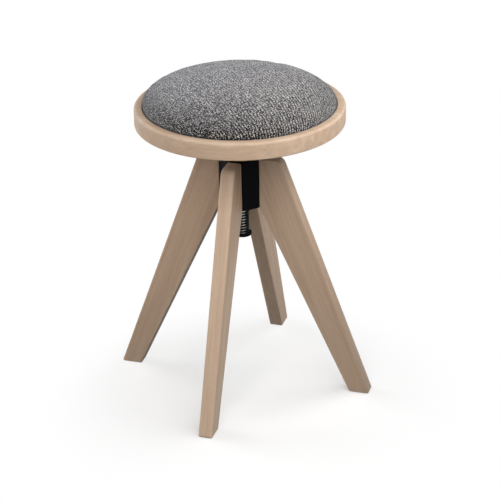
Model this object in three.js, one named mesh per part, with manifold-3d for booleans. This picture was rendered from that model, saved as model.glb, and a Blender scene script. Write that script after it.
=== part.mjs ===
// Revolving piano stool: a padded round seat on a lead screw, which turns in a nut on a steel hub between
// four splayed board legs. Millimetres, +Z up. The origin is on the floor under the spindle's axis. The front
// leg points to -Y and the right leg to +X.
import * as THREE from "three";
import { mergeVertices } from "three/addons/utils/BufferGeometryUtils.js";
import Module from "manifold-3d";

const wasm = await Module();
wasm.setup();

// Gaps and cuts
const seatingGap = 0.3; // left where one piece rests on or in another
const stopGap = 0.4; // left between the stops at each end of the screw's travel
const cutOverrun = 4; // how far a cutting solid runs past the face that it opens

// Travel of the seat from the height at which it is modelled
const riseTravel = 53; // until the buffer meets the hub
const dropTravel = 42; // until the seat plate's collar meets the nut

// Legs: radial boards, straight down the hub to the knee and then splayed to the foot
const legThickness = 24;
const legArris = 2.5; // rounding of every long edge
const footInnerReach = 191.3;
const footWidth = 35.8;
const legTopWidth = 37.4; // where the outer edge would meet the top before the shoulder is rounded
const shoulderRound = 20;
const cornerSoftening = 0.5; // of the outline's corners over the arris

// Hub: an octagonal tube with a thick top wall, and one leg on every second flat
const hubBottomZ = 331; // also the height of the legs' knees
const hubHeight = 87;
const hubAcrossFlats = 68;
const hubWall = 3;
const hubTopWall = 6;

// Lead screw: a trapezoidal thread, right-handed, so that turning the seat anticlockwise raises it
const threadPitch = 5;
const threadCrestRadius = 12;
const threadDepth = 2.75;
const threadPitchDepth = 1.25; // from the crest to where ridge and groove are equally wide
const threadFlankAngle = THREE.MathUtils.degToRad(15);
const threadSteps = 12; // facets in one turn
const threadSideGap = 0.3; // between the flanks of screw and nut
const threadTipGap = 0.6; // between each crest and the root that it runs in
const threadRunout = 1; // how far the cutting bar's thread outruns the piece, in turns

// Nut and lower guide bush
const nutLength = 36;
const nutWall = 5; // round the crests of the thread
const nutFlangeOverhang = 13;
const nutFlangeThickness = 6;
const nutScrewCount = 4;
const bushHeight = 16;
const bushRunningGap = 0.5;

// Seat plate and the top end of the spindle
const plateRadius = 70;
const plateThickness = 5;
const plateScrewInset = 16; // from the plate's edge
const plateScrewCount = 6;
const collarWall = 10;
const collarHeight = 8;
const spigotShoulder = 1.25; // of the thread's root round the spigot
const spigotChamfer = 1.5;
const lockNutAcrossFlats = 24;
const lockNutHeight = 8;
const spigotStandOut = 3; // of the lock nut
const grubRadius = 2.5;
const grubRecess = 0.5;

// End stop under the spindle
const stopOverhang = 4; // of disc and buffer past the thread
const endDiscThickness = 2;
const bufferThickness = 2;
const bufferRunningGap = 0.5;

// Seat pan: a turned wooden disc with a recess for the cushion
const seatRadius = 175;
const seatHeight = 30;
const rimWidth = 14;
const recessDepth = 16;
const rimTopRound = 5;
const rimInnerRound = 1;
const rimBottomRound = 2;
const recessCornerRound = 3;
const panBoreGap = 3.2; // round the lock nut's corners

// Cushion: a fabric cover drawn over foam and folded under a plywood board
const cushionSideGap = 0.7; // between the cover and the recess
const cushionBellyHeight = 4.1; // of the widest line over the rim
const cushionCrown = 42.3; // of the dome over the widest line
const cushionDrawIn = 2; // of the cover's side at the board
const domeFlatness = 2.22; // exponent along the radius
const domeShoulder = 1.8; // exponent along the height
const coverThickness = 1.5;
const coverFoldRound = 3;
const hemWidth = 24;
const boardThickness = 9;
const boardEdgeGap = 0.5;
const cushionScrewInset = 46; // from the board's edge
const cushionScrewCount = 4;

// Fasteners
const legBoltRadius = 4;
const legBoltStandOut = 2; // past the insert
const legBoltHeadRadius = 7;
const legBoltHeadHeight = 4.4;
const upperBoltDrop = 18; // below the hub's top
const lowerBoltRise = 30; // above the hub's bottom
const insertWall = 2;
const insertLength = 24;
const insertSetBack = 0.7;
const drillPoint = 1; // depth of a drilled hole past the piece in it
const nutScrewRadius = 2.5;
const nutScrewStandOut = 1.2; // under the hub's top wall
const smallHeadRadius = 4.3;
const smallHeadHeight = 2.8;
const woodScrewRadius = 2.2;
const screwTipCover = 2.8; // of wood over a wood screw's tip
const counterboreDepth = 4;
const endScrewRadius = 4;
const endScrewLength = 20;
const endScrewHeadRadius = 7;
const endScrewHeadHeight = 3.2;
const headRound = 1.2;

// Facets round each turned piece
const seatFacets = 64;
const coverFacets = 40;
const domeSteps = 8;
const plateFacets = 32;
const stopFacets = 32;
const fastenerFacets = 10;
const arrisSteps = 2;
const shoulderSteps = 6;
const rimSteps = 3;

// Angles about the spindle, counted anticlockwise from +X
const anglesOf = (count, first = 0) =>
  Array.from({ length: count }, (_, k) => first + (2 * Math.PI * k) / count);
const legNames = ["right", "back", "left", "front"];
const legAngles = anglesOf(legNames.length);
const nutScrewAngle = Math.PI / nutScrewCount;
const plateScrewAngle = Math.PI / plateScrewCount;
const cushionScrewAngle = Math.PI / cushionScrewCount;

// Sizes that follow from the ones above
const hubTopZ = hubBottomZ + hubHeight;
const hubReach = hubAcrossFlats / 2;
const hubInnerReach = hubReach - hubWall;
const legInnerReach = hubReach + seatingGap;
const footOuterReach = footInnerReach + footWidth;
const shoulderReach = legInnerReach + legTopWidth;
const cornerRound = legArris + cornerSoftening;
const threadRootRadius = threadCrestRadius - threadDepth;
const threadPitchRadius = threadCrestRadius - threadPitchDepth;
const nutRadius = threadCrestRadius + nutWall;
const nutFlangeRadius = nutRadius + nutFlangeOverhang;
const nutScrewReach = (nutRadius + nutFlangeRadius) / 2;
const nutScrewLength = nutFlangeThickness + seatingGap + hubTopWall + nutScrewStandOut;
const spigotRadius = threadRootRadius - spigotShoulder;
const collarRadius = spigotRadius + collarWall;
const plateScrewReach = plateRadius - plateScrewInset;
const stopRadius = threadCrestRadius + stopOverhang;
const lockNutCornerRadius = lockNutAcrossFlats / 2 / Math.cos(Math.PI / 6);
const panBoreRadius = lockNutCornerRadius + panBoreGap;
const nutFlangeTopZ = hubTopZ + seatingGap + nutFlangeThickness;
const nutBottomZ = nutFlangeTopZ - nutLength;
const collarBottomZ = nutFlangeTopZ + stopGap + dropTravel;
const plateBottomZ = collarBottomZ + collarHeight;
const plateTopZ = plateBottomZ + plateThickness;
const seatUnderZ = plateTopZ + seatingGap;
const spindleShoulderZ = collarBottomZ - seatingGap;
const lockNutBottomZ = plateTopZ + seatingGap;
const spigotTopZ = lockNutBottomZ + lockNutHeight + spigotStandOut;
const bufferTopZ = hubBottomZ - stopGap - riseTravel;
const bufferBottomZ = bufferTopZ - bufferThickness;
const endDiscTopZ = bufferBottomZ - seatingGap;
const endDiscBottomZ = endDiscTopZ - endDiscThickness;
const spindleBottomZ = endDiscTopZ + seatingGap;
const rimTopZ = seatUnderZ + seatHeight;
const recessRadius = seatRadius - rimWidth;
const recessFloorZ = rimTopZ - recessDepth;
const panFloorThickness = seatHeight - recessDepth;
const plateScrewLength = plateThickness + seatingGap + panFloorThickness - screwTipCover;
const cushionRadius = recessRadius - cushionSideGap;
const cushionBellyZ = rimTopZ + cushionBellyHeight;
const coverBottomZ = recessFloorZ + seatingGap;
const coverFootRadius = cushionRadius - cushionDrawIn;
const boardBottomZ = coverBottomZ + coverThickness + seatingGap;
const boardTopZ = boardBottomZ + boardThickness;
const boardRadius = coverFootRadius - coverThickness - boardEdgeGap;
const cushionScrewReach = boardRadius - cushionScrewInset;
const grubZ = plateBottomZ - collarHeight / 2;
const cushionScrewSeatZ = seatUnderZ + counterboreDepth;
const cushionScrewLength = boardTopZ - screwTipCover - cushionScrewSeatZ;
const insertRadius = legBoltRadius + insertWall;
const insertReach = legInnerReach + insertSetBack;
const legBoltLength = insertReach + insertLength + legBoltStandOut - hubInnerReach;
const upperBoltZ = hubTopZ - upperBoltDrop;
const lowerBoltZ = hubBottomZ + lowerBoltRise;

// Materials
const finish = (color, roughness, metalness) =>
  new THREE.MeshStandardMaterial({ color, roughness, metalness });
const paleWood = finish("#c8a88e", 0.55, 0);
const plywood = finish("#c9ab7c", 0.7, 0);
const blackCoat = finish("#141416", 0.5, 0.2);
const darkSteel = finish("#35363a", 0.4, 0.9);
const zincSteel = finish("#a9abb0", 0.35, 0.9);
const brass = finish("#b08d4a", 0.35, 0.9);
const blackNylon = finish("#1b1b1c", 0.6, 0);
const blackRubber = finish("#0f0f10", 0.8, 0);
const tweed = finish("#6e6f72", 0.95, 0);
const foam = finish("#e3d9b8", 1, 0);

// A closed geometry as a solid for joining and cutting: shared points merged, faces pointing out
function solid(geometry) {
  const bare = geometry.clone();
  bare.deleteAttribute("normal");
  bare.deleteAttribute("uv");
  const merged = mergeVertices(bare);
  const index = merged.index.array;
  const triangles = [];
  for (let i = 0; i < index.length; i += 3) {
    const [a, b, c] = index.slice(i, i + 3);
    if (a !== b && b !== c && c !== a) triangles.push(a, b, c);
  }
  const made = (triVerts) =>
    new wasm.Manifold(
      new wasm.Mesh({
        numProp: 3,
        vertProperties: new Float32Array(merged.attributes.position.array),
        triVerts: new Uint32Array(triVerts),
      }),
    );
  const body = made(triangles);
  return body.volume() > 0 ? body : made(triangles.reverse());
}

// A solid as a geometry for a mesh
function geometryOf(body) {
  const { vertProperties, triVerts } = body.getMesh();
  const geometry = new THREE.BufferGeometry();
  geometry.setAttribute("position", new THREE.BufferAttribute(new Float32Array(vertProperties), 3));
  geometry.setIndex(new THREE.BufferAttribute(new Uint32Array(triVerts), 1));
  geometry.computeVertexNormals();
  return geometry;
}

const joined = (first, second) => geometryOf(solid(first).add(solid(second)));
const common = (first, second) => geometryOf(solid(first).intersect(solid(second)));
const cut = (blank, ...tools) =>
  geometryOf(tools.map(solid).reduce((left, tool) => left.subtract(tool), solid(blank)));

// An outline through corners given as [x, y], [x, y, radius] or [x, y, radius, steps]. A radius is an arc
// between the corner's two edges, and one step of it a bevel.
function outline(corners) {
  return corners.flatMap(([x, y, radius, steps = 1], i) => {
    const corner = new THREE.Vector2(x, y);
    if (!radius) return [corner];
    const [before, after] = [corners.at(i - 1), corners[(i + 1) % corners.length]].map(([u, v]) =>
      new THREE.Vector2(u, v).sub(corner).normalize(),
    );
    const half = Math.acos(before.dot(after)) / 2;
    const tangent = radius / Math.tan(half);
    const centre = before.clone().add(after).normalize().multiplyScalar(radius / Math.sin(half)).add(corner);
    const start = before.clone().multiplyScalar(tangent).add(corner).sub(centre);
    const turn = Math.sign(before.cross(after)) * (Math.PI - 2 * half);
    return Array.from({ length: steps + 1 }, (_, k) =>
      start.clone().rotateAround(new THREE.Vector2(), (-turn * k) / steps).add(centre),
    );
  });
}

// A turned piece about Z. The profile's corners are [radius, z], and it closes on itself or on the axis.
function turned(corners, facets = fastenerFacets) {
  const points = outline(corners);
  const onAxis = points[0].x === 0 && points.at(-1).x === 0;
  return new THREE.LatheGeometry(onAxis ? points : [...points, points[0]], facets).rotateX(Math.PI / 2);
}

const bar = (radius, lowZ, highZ, facets = fastenerFacets) =>
  turned([[0, lowZ], [radius, lowZ], [radius, highZ], [0, highZ]], facets);

// A prism with flats, one of them facing +X
function prism(sides, acrossFlats, lowZ, highZ) {
  const halfSide = Math.PI / sides;
  const shape = new THREE.Shape(
    Array.from({ length: sides }, (_, k) => {
      const angle = halfSide * (2 * k + 1);
      const radius = acrossFlats / 2 / Math.cos(halfSide);
      return new THREE.Vector2(radius * Math.cos(angle), radius * Math.sin(angle));
    }),
  );
  const depth = highZ - lowZ;
  return new THREE.ExtrudeGeometry(shape, { depth, bevelEnabled: false }).translate(0, 0, lowZ);
}

// Turns a piece made along Z to point outward along X, from a distance and at a height
const pointedOut = (geometry, reach, z) => geometry.clone().rotateY(Math.PI / 2).translate(reach, 0, z);
const ringOf = (geometry, count, reach, first) =>
  anglesOf(count, first).map((angle) => geometry.clone().translate(reach, 0, 0).rotateZ(angle));

// A screw along Z: its shank runs up from 0 and its head lies below, with the underside a seating gap down
const screw = (radius, length, headRadius, headHeight) =>
  turned([
    [0, -seatingGap - headHeight],
    [headRadius, -seatingGap - headHeight, headRound],
    [headRadius, -seatingGap],
    [radius, -seatingGap],
    [radius, length],
    [0, length],
  ]);

// Half the width of a thread ridge at a radius
const ridgeHalfWidth = (radius, sideGap) =>
  threadPitch / 4 - (radius - threadPitchRadius) * Math.tan(threadFlankAngle) + sideGap;

// A bar with the stool's thread from lowZ to highZ. Its ridge is counted from z = 0 and angle 0, so the screw
// and the bar that cuts the nut are in mesh. A trapezoid is swept up the helix, a ring of corners at a time.
function threadedBar(rootRadius, crestRadius, sideGap, lowZ, highZ) {
  const firstTurn = Math.floor(lowZ / threadPitch) - threadRunout;
  const turns = Math.ceil(highZ / threadPitch) + threadRunout - firstTurn;
  const rings = turns * threadSteps;
  const section = [
    [rootRadius, -ridgeHalfWidth(rootRadius, sideGap)],
    [crestRadius, -ridgeHalfWidth(crestRadius, sideGap)],
    [crestRadius, ridgeHalfWidth(crestRadius, sideGap)],
    [rootRadius, ridgeHalfWidth(rootRadius, sideGap)],
  ];
  const last = section.length - 1;
  const positions = [];
  for (let ring = 0; ring <= rings; ring += 1) {
    const angle = (2 * Math.PI * ring) / threadSteps;
    const rise = (firstTurn + ring / threadSteps) * threadPitch;
    for (const [radius, z] of section) {
      positions.push(radius * Math.cos(angle), radius * Math.sin(angle), rise + z);
    }
  }
  const at = (ring, corner) => ring * section.length + corner;
  const triangles = [];
  const band = (a, b, c, d) => triangles.push(a, b, c, a, c, d);
  for (let ring = 0; ring < rings; ring += 1) {
    for (let k = 0; k < last; k += 1) {
      band(at(ring, k), at(ring + 1, k), at(ring + 1, k + 1), at(ring, k + 1));
    }
    const above = ring + threadSteps;
    if (above < rings) band(at(ring, last), at(ring + 1, last), at(above + 1, 0), at(above, 0));
  }
  // Each end is a fan from a point on the axis to the last turn's free edge and the ridge's end face
  const centre = at(rings, last) + 1;
  const halfTurn = threadPitch / 2;
  const bottomZ = (firstTurn * threadPitch + section[0][1]) + halfTurn;
  const topZ = (firstTurn + turns) * threadPitch + section[last][1] - halfTurn;
  positions.push(0, 0, bottomZ, 0, 0, topZ);
  for (let k = 0; k < threadSteps; k += 1) {
    triangles.push(centre, at(k + 1, 0), at(k, 0));
    triangles.push(centre + 1, at(rings - threadSteps + k, last), at(rings - threadSteps + k + 1, last));
  }
  for (let k = 0; k < last; k += 1) {
    triangles.push(centre, at(0, k), at(0, k + 1));
    triangles.push(centre + 1, at(rings, k + 1), at(rings, k));
  }
  triangles.push(centre, at(0, last), at(threadSteps, 0));
  triangles.push(centre + 1, at(rings, 0), at(rings - threadSteps, last));
  const geometry = new THREE.BufferGeometry();
  geometry.setAttribute("position", new THREE.Float32BufferAttribute(positions, 3));
  geometry.setIndex(triangles);
  return geometry;
}

// The leg stands on its inner edge against the hub, runs down to the knee and out to the foot
function makeLeg() {
  const corners = [
    [footInnerReach, 0, cornerRound],
    [footOuterReach, 0, cornerRound],
    [shoulderReach, hubTopZ, shoulderRound, shoulderSteps],
    [legInnerReach, hubTopZ, cornerRound],
    [legInnerReach, hubBottomZ, cornerRound],
  ];
  const board = new THREE.ExtrudeGeometry(new THREE.Shape(outline(corners)), {
    depth: legThickness - 2 * legArris,
    bevelThickness: legArris,
    bevelSize: legArris,
    bevelOffset: -legArris,
    bevelSegments: arrisSteps,
  });
  board.translate(0, 0, legArris - legThickness / 2).rotateX(Math.PI / 2);
  const socketDepth = insertSetBack + insertLength + legBoltStandOut + drillPoint;
  const socket = bar(insertRadius + seatingGap, -cutOverrun, socketDepth);
  return cut(board, ...[upperBoltZ, lowerBoltZ].map((z) => pointedOut(socket, legInnerReach, z)));
}

// The hub is open below and bored above for the nut, with two bolt holes through the wall behind each leg
function makeHub() {
  const boltHole = bar(legBoltRadius + seatingGap, -cutOverrun, hubWall + cutOverrun);
  const boltHoles = [upperBoltZ, lowerBoltZ].flatMap((z) =>
    legAngles.map((angle) => pointedOut(boltHole, hubInnerReach, z).rotateZ(angle)),
  );
  const topWallZ = hubTopZ - hubTopWall;
  return cut(
    prism(8, hubAcrossFlats, hubBottomZ, hubTopZ),
    prism(8, 2 * hubInnerReach, hubBottomZ - cutOverrun, topWallZ),
    bar(nutRadius + seatingGap, topWallZ - cutOverrun, hubTopZ + cutOverrun, plateFacets),
    ...ringOf(
      bar(nutScrewRadius + seatingGap, topWallZ - cutOverrun, hubTopZ + cutOverrun),
      nutScrewCount, nutScrewReach, nutScrewAngle,
    ),
    ...boltHoles,
  );
}

// The nut hangs through the hub's top wall by its flange
function makeNut() {
  const flangeBottomZ = hubTopZ + seatingGap;
  const blank = turned(
    [
      [0, nutBottomZ],
      [nutRadius, nutBottomZ, headRound],
      [nutRadius, flangeBottomZ],
      [nutFlangeRadius, flangeBottomZ],
      [nutFlangeRadius, nutFlangeTopZ, headRound],
      [0, nutFlangeTopZ],
    ],
    plateFacets,
  );
  const tap = threadedBar(
    threadRootRadius + threadTipGap,
    threadCrestRadius + threadTipGap,
    threadSideGap,
    nutBottomZ,
    nutFlangeTopZ,
  );
  const screwHole = bar(nutScrewRadius + seatingGap, flangeBottomZ - cutOverrun, nutFlangeTopZ + cutOverrun);
  return cut(blank, tap, ...ringOf(screwHole, nutScrewCount, nutScrewReach, nutScrewAngle));
}

// The bush plugs the hub's lower end and guides the crests of the thread
function makeBush() {
  const plug = prism(8, 2 * (hubInnerReach - seatingGap), hubBottomZ, hubBottomZ + bushHeight);
  const bore = bar(
    threadCrestRadius + bushRunningGap,
    hubBottomZ - cutOverrun,
    hubBottomZ + bushHeight + cutOverrun,
    stopFacets,
  );
  return cut(plug, bore);
}

// The spindle: a threaded bar with bevelled ends, a spigot for the seat plate and a hole for the end screw
function makeSpindle() {
  const outerRadius = threadCrestRadius + threadTipGap;
  const bevel = outerRadius - threadRootRadius;
  const ends = turned([
    [0, spindleBottomZ],
    [threadRootRadius, spindleBottomZ],
    [outerRadius, spindleBottomZ + bevel],
    [outerRadius, spindleShoulderZ - bevel],
    [threadRootRadius, spindleShoulderZ],
    [0, spindleShoulderZ],
  ], stopFacets);
  const thread = threadedBar(threadRootRadius, threadCrestRadius, 0, spindleBottomZ, spindleShoulderZ);
  const spigot = turned([
    [0, spindleShoulderZ - cutOverrun],
    [spigotRadius, spindleShoulderZ - cutOverrun],
    [spigotRadius, spigotTopZ - spigotChamfer],
    [spigotRadius - spigotChamfer, spigotTopZ],
    [0, spigotTopZ],
  ]);
  const tappedHole = bar(
    endScrewRadius + seatingGap,
    spindleBottomZ - cutOverrun,
    endDiscBottomZ + endScrewLength + drillPoint,
  );
  return cut(joined(common(thread, ends), spigot), tappedHole);
}

// The seat plate: a steel disc with a collar round the spigot, screwed to the pan from below
function makePlate() {
  const boreRadius = spigotRadius + seatingGap;
  const blank = turned(
    [
      [boreRadius, collarBottomZ],
      [collarRadius, collarBottomZ, headRound],
      [collarRadius, plateBottomZ],
      [plateRadius, plateBottomZ, headRound],
      [plateRadius, plateTopZ],
      [boreRadius, plateTopZ],
    ],
    plateFacets,
  );
  const screwHole = bar(woodScrewRadius + seatingGap, plateBottomZ - cutOverrun, plateTopZ + cutOverrun);
  const grubHole = pointedOut(bar(grubRadius + seatingGap, 0, collarRadius + cutOverrun), 0, grubZ);
  return cut(blank, grubHole, ...ringOf(screwHole, plateScrewCount, plateScrewReach, plateScrewAngle));
}

// The pan is bored for the lock nut, drilled for the plate's screws and counterbored for the cushion's
function makePan() {
  const blank = turned(
    [
      [panBoreRadius, seatUnderZ],
      [seatRadius, seatUnderZ, rimBottomRound],
      [seatRadius, rimTopZ, rimTopRound, rimSteps],
      [recessRadius, rimTopZ, rimInnerRound],
      [recessRadius, recessFloorZ, recessCornerRound],
      [panBoreRadius, recessFloorZ],
    ],
    seatFacets,
  );
  const pilot = bar(
    woodScrewRadius + seatingGap,
    seatUnderZ - cutOverrun,
    plateBottomZ + plateScrewLength + seatingGap,
  );
  const clearanceHole = bar(woodScrewRadius + seatingGap, seatUnderZ, recessFloorZ + cutOverrun);
  const counterbore = bar(
    smallHeadRadius + seatingGap,
    seatUnderZ - cutOverrun,
    seatUnderZ + counterboreDepth,
  );
  return cut(
    blank,
    ...ringOf(pilot, plateScrewCount, plateScrewReach, plateScrewAngle),
    ...ringOf(clearanceHole, cushionScrewCount, cushionScrewReach, cushionScrewAngle),
    ...ringOf(counterbore, cushionScrewCount, cushionScrewReach, cushionScrewAngle),
  );
}

// The cushion's dome from its widest line up to the axis, as [radius, z], at a depth under the fabric's face
const dome = (depth) =>
  Array.from({ length: domeSteps + 1 }, (_, k) => {
    const angle = (Math.PI / 2) * (1 - k / domeSteps);
    const acrossShare = k === domeSteps ? 0 : Math.sin(angle) ** (2 / domeFlatness);
    const riseShare = Math.cos(angle) ** (2 / domeShoulder);
    return [acrossShare * (cushionRadius - depth), cushionBellyZ + riseShare * (cushionCrown - depth)];
  });

// The cover is one skin: the dome, the drawn-in side and the hem folded under the board
function makeCover() {
  const hemRadius = coverFootRadius - hemWidth;
  const insideFoot = coverFootRadius - coverThickness;
  return turned(
    [
      [hemRadius, coverBottomZ],
      [coverFootRadius, coverBottomZ, coverFoldRound],
      ...dome(0),
      ...dome(coverThickness).reverse(),
      [insideFoot, coverBottomZ + coverThickness, coverFoldRound - coverThickness],
      [hemRadius, coverBottomZ + coverThickness],
    ],
    coverFacets,
  );
}

// The foam fills the cover over the board
function makeFoam() {
  const depth = coverThickness + seatingGap;
  return turned(
    [
      [0, boardTopZ + seatingGap],
      [coverFootRadius - depth, boardTopZ + seatingGap],
      ...dome(depth),
    ],
    coverFacets,
  );
}

// The board is open in the middle over the spindle's end
function makeBoard() {
  const pilot = bar(
    woodScrewRadius + seatingGap,
    boardBottomZ - cutOverrun,
    cushionScrewSeatZ + cushionScrewLength + seatingGap,
  );
  return cut(
    turned(
      [
        [panBoreRadius, boardBottomZ],
        [boardRadius, boardBottomZ, coverFoldRound],
        [boardRadius, boardTopZ],
        [panBoreRadius, boardTopZ],
      ],
      coverFacets,
    ),
    ...ringOf(pilot, cushionScrewCount, cushionScrewReach, cushionScrewAngle),
  );
}

// A ring with square edges, from radius to radius
const ring = (innerRadius, outerRadius, lowZ, highZ, facets) =>
  turned([[innerRadius, lowZ], [outerRadius, lowZ], [outerRadius, highZ], [innerRadius, highZ]], facets);

function makeLockNut() {
  return cut(
    prism(6, lockNutAcrossFlats, lockNutBottomZ, lockNutBottomZ + lockNutHeight),
    bar(spigotRadius + seatingGap, lockNutBottomZ - cutOverrun, spigotTopZ + cutOverrun),
  );
}

function mesh(group, name, geometry, material) {
  const piece = new THREE.Mesh(geometry, material);
  piece.name = name;
  group.add(piece);
  return piece;
}

// Screws in a ring round the axis, each at the height of the face that its head bears on
function screwRing(group, name, geometry, count, reach, first, z, tilt = 0) {
  anglesOf(count, first).forEach((angle, k) => {
    const piece = mesh(group, `${name}_${k + 1}`, geometry, zincSteel);
    piece.position.set(reach * Math.cos(angle), reach * Math.sin(angle), z);
    piece.rotation.set(tilt, 0, angle, "ZYX");
  });
}

// The base: hub, legs with their bolts and inserts, nut and guide bush
const base = new THREE.Group();
mesh(base, "hub", makeHub(), blackCoat);
mesh(base, "spindle_nut", makeNut(), brass);
mesh(base, "guide_bush", makeBush(), blackNylon);
const nutScrew = screw(nutScrewRadius, nutScrewLength, smallHeadRadius, smallHeadHeight);
screwRing(base, "nut_screw", nutScrew, nutScrewCount, nutScrewReach, nutScrewAngle, nutFlangeTopZ, Math.PI);

const legBoard = makeLeg();
const legBolt = screw(legBoltRadius, legBoltLength, legBoltHeadRadius, legBoltHeadHeight);
const legInsert = ring(legBoltRadius + seatingGap, insertRadius, 0, insertLength, fastenerFacets);
legNames.forEach((side, k) => {
  const leg = new THREE.Group();
  leg.rotation.z = legAngles[k];
  mesh(leg, `leg_${side}`, legBoard, paleWood);
  for (const [level, z] of [["upper", upperBoltZ], ["lower", lowerBoltZ]]) {
    const bolt = mesh(leg, `leg_bolt_${side}_${level}`, legBolt, zincSteel);
    bolt.position.set(hubInnerReach, 0, z);
    bolt.rotation.y = Math.PI / 2;
    const insert = mesh(leg, `leg_insert_${side}_${level}`, legInsert, zincSteel);
    insert.position.set(insertReach, 0, z);
    insert.rotation.y = Math.PI / 2;
  }
  base.add(leg);
});

// The buffer lies loose on the end disc and is carried up and down by the spindle
const buffer = ring(
  threadCrestRadius + bufferRunningGap,
  stopRadius,
  bufferBottomZ,
  bufferTopZ,
  stopFacets,
);

// The seat and everything that turns with it
const seat = new THREE.Group();
mesh(seat, "spindle", makeSpindle(), darkSteel);
const endDiscBore = endScrewRadius + seatingGap;
mesh(seat, "end_disc", ring(endDiscBore, stopRadius, endDiscBottomZ, endDiscTopZ, stopFacets), blackCoat);
const endScrew = screw(endScrewRadius, endScrewLength, endScrewHeadRadius, endScrewHeadHeight);
mesh(seat, "end_screw", endScrew, zincSteel).position.z = endDiscBottomZ;
mesh(seat, "seat_plate", makePlate(), blackCoat);
mesh(seat, "lock_nut", makeLockNut(), zincSteel);
const grub = bar(grubRadius, spigotRadius + seatingGap, collarRadius - grubRecess);
mesh(seat, "grub_screw", pointedOut(grub, 0, grubZ), darkSteel);
const plateScrew = screw(woodScrewRadius, plateScrewLength, smallHeadRadius, smallHeadHeight);
screwRing(seat, "plate_screw", plateScrew, plateScrewCount, plateScrewReach, plateScrewAngle, plateBottomZ);
mesh(seat, "seat_pan", makePan(), paleWood);
mesh(seat, "cushion_board", makeBoard(), plywood);
mesh(seat, "cushion_foam", makeFoam(), foam);
mesh(seat, "cushion_cover", makeCover(), tweed);
const cushionScrew = screw(woodScrewRadius, cushionScrewLength, smallHeadRadius, smallHeadHeight);
screwRing(
  seat, "cushion_screw", cushionScrew,
  cushionScrewCount, cushionScrewReach, cushionScrewAngle, cushionScrewSeatZ,
);

const stool = new THREE.Group();
stool.add(base, seat);
mesh(stool, "buffer_ring", buffer, blackRubber);

export default stool;
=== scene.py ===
"""Looks for a revolving piano stool: a tweed cushion in a beech seat, on a lead screw between four legs.

Sizes below are in millimetres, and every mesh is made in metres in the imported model's own frame.
"""

import math

import bmesh
import bpy
from mathutils import Matrix, Vector


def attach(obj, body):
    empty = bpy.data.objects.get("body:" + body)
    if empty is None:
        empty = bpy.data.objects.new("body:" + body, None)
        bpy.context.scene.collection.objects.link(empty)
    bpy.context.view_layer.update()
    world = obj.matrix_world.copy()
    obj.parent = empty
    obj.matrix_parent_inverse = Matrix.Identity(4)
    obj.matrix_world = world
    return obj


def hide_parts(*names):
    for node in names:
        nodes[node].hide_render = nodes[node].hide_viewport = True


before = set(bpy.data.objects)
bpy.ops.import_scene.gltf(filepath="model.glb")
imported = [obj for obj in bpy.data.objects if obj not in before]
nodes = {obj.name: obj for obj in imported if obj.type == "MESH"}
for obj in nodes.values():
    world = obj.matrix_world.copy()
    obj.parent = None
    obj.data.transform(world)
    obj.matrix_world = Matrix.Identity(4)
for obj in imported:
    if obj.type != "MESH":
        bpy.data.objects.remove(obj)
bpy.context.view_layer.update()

MM = 0.001

# Shaping: how far a cutting tool runs past the face that it cuts, steps in a rounded corner, and the angle in
# degrees from which an edge is shaded sharp
PAST = 4
ROUND_STEPS = 8
SHARP = 40

# Camera, solved from the outlines of seat and legs in the photograph
CAMERA_DISTANCE = 3207.45
CAMERA_ELEVATION = 25.5
CAMERA_TURN = 17.64
CAMERA_ROLL = -1.12
CAMERA_LENS, CAMERA_SENSOR = 135.1, 36
AIM_SIDE, AIM_HEIGHT = 12.23, 241.9

# Legs: boards set radially on the hub
LEG_ANGLES = {"right": 0, "back": 90, "left": 180, "front": 270}
# Each board's tone, where 1 is beech as its colours are written
LEG_TONES = {"right": 0.91, "back": 1.06, "left": 0.93, "front": 1.04}
LEG_THICKNESS = 24
LEG_ARRIS = 2.5
LEG_INNER = 34.3
LEG_FOOT_INNER, LEG_FOOT_OUTER = 191.3, 227.1
LEG_SHOULDER = 71.7
SHOULDER_ROUND = 13
CORNER_ROUND = 3
SOCKET_RADIUS, SOCKET_DEPTH = 6.3, 27.7
# How far apart the boards were cut from one plank, in metres
PLANK_STEP = (0.31, 0.17, 0.05)
# Painted shade on the left leg's slanting inner edge. On the right leg's outer edge, painted shade at the
# foot and
# # painted light at the top
INNER_PAINTED_SHADE, OUTER_PAINTED_SHADE, OUTER_PAINTED_LIGHT = {"left": 0.8}, {"right": 0.35}, {"right": 0.08}

# Hub and the heights of the two leg bolts
HUB_SIDES, HUB_FLATS = 8, 68
HUB_WALL = 3
HUB_TOP_WALL = 6
HUB_EDGE, HUB_END_BEVEL = 1.2, 0.6
HUB_LOW, HUB_HIGH = 331, 418
BOLT_HEIGHTS = (361, 400)
LEG_BOLTS = {"count": 4, "reach": 31, "first": 0}
BOLT_HOLE = 4.3
NUT_BORE = 17.3
NUT_LOW, NUT_SHOULDER, NUT_HIGH = 388.3, 418.3, 424.3
NUT_RADIUS, NUT_FLANGE = 17, 30
NUT_ROUND, NUT_EDGE = 1.2, 0.4
NUT_SCREWS = {"count": 4, "reach": 23.5, "first": 45}
NUT_SCREW_HOLE = 2.8
BUSH_FLATS, BUSH_BORE, BUSH_HIGH, BUSH_END_BEVEL = 61.4, 12.5, 347, 0.8

# Lead screw
PITCH = 5
CREST = 12
ROOT = 9.25
PITCH_RADIUS = 10.75
FLANK = 15
SCREW_LOW, SCREW_HIGH = 275.6, 466.4
SPIGOT_RADIUS, SPIGOT_HIGH, SPIGOT_ROUND = 8, 491, 1.5
TAPPED_RADIUS, TAPPED_HIGH = 4.3, 294.3
FLANK_ROOM, TIP_ROOM = 0.3, 0.6
STOP_RADIUS = 16
DISC_LOW, DISC_HIGH, DISC_ROUND, DISC_EDGE = 273.3, 275.3, 0.8, 0.4
BUFFER_BORE, BUFFER_LOW, BUFFER_HIGH, BUFFER_ROUND = 12.5, 275.6, 277.6, 0.6
# How far the mouths of nut and bush are flared, and their radii
FLARE, NUT_MOUTH, BUSH_MOUTH = 2, 13, 14
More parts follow.
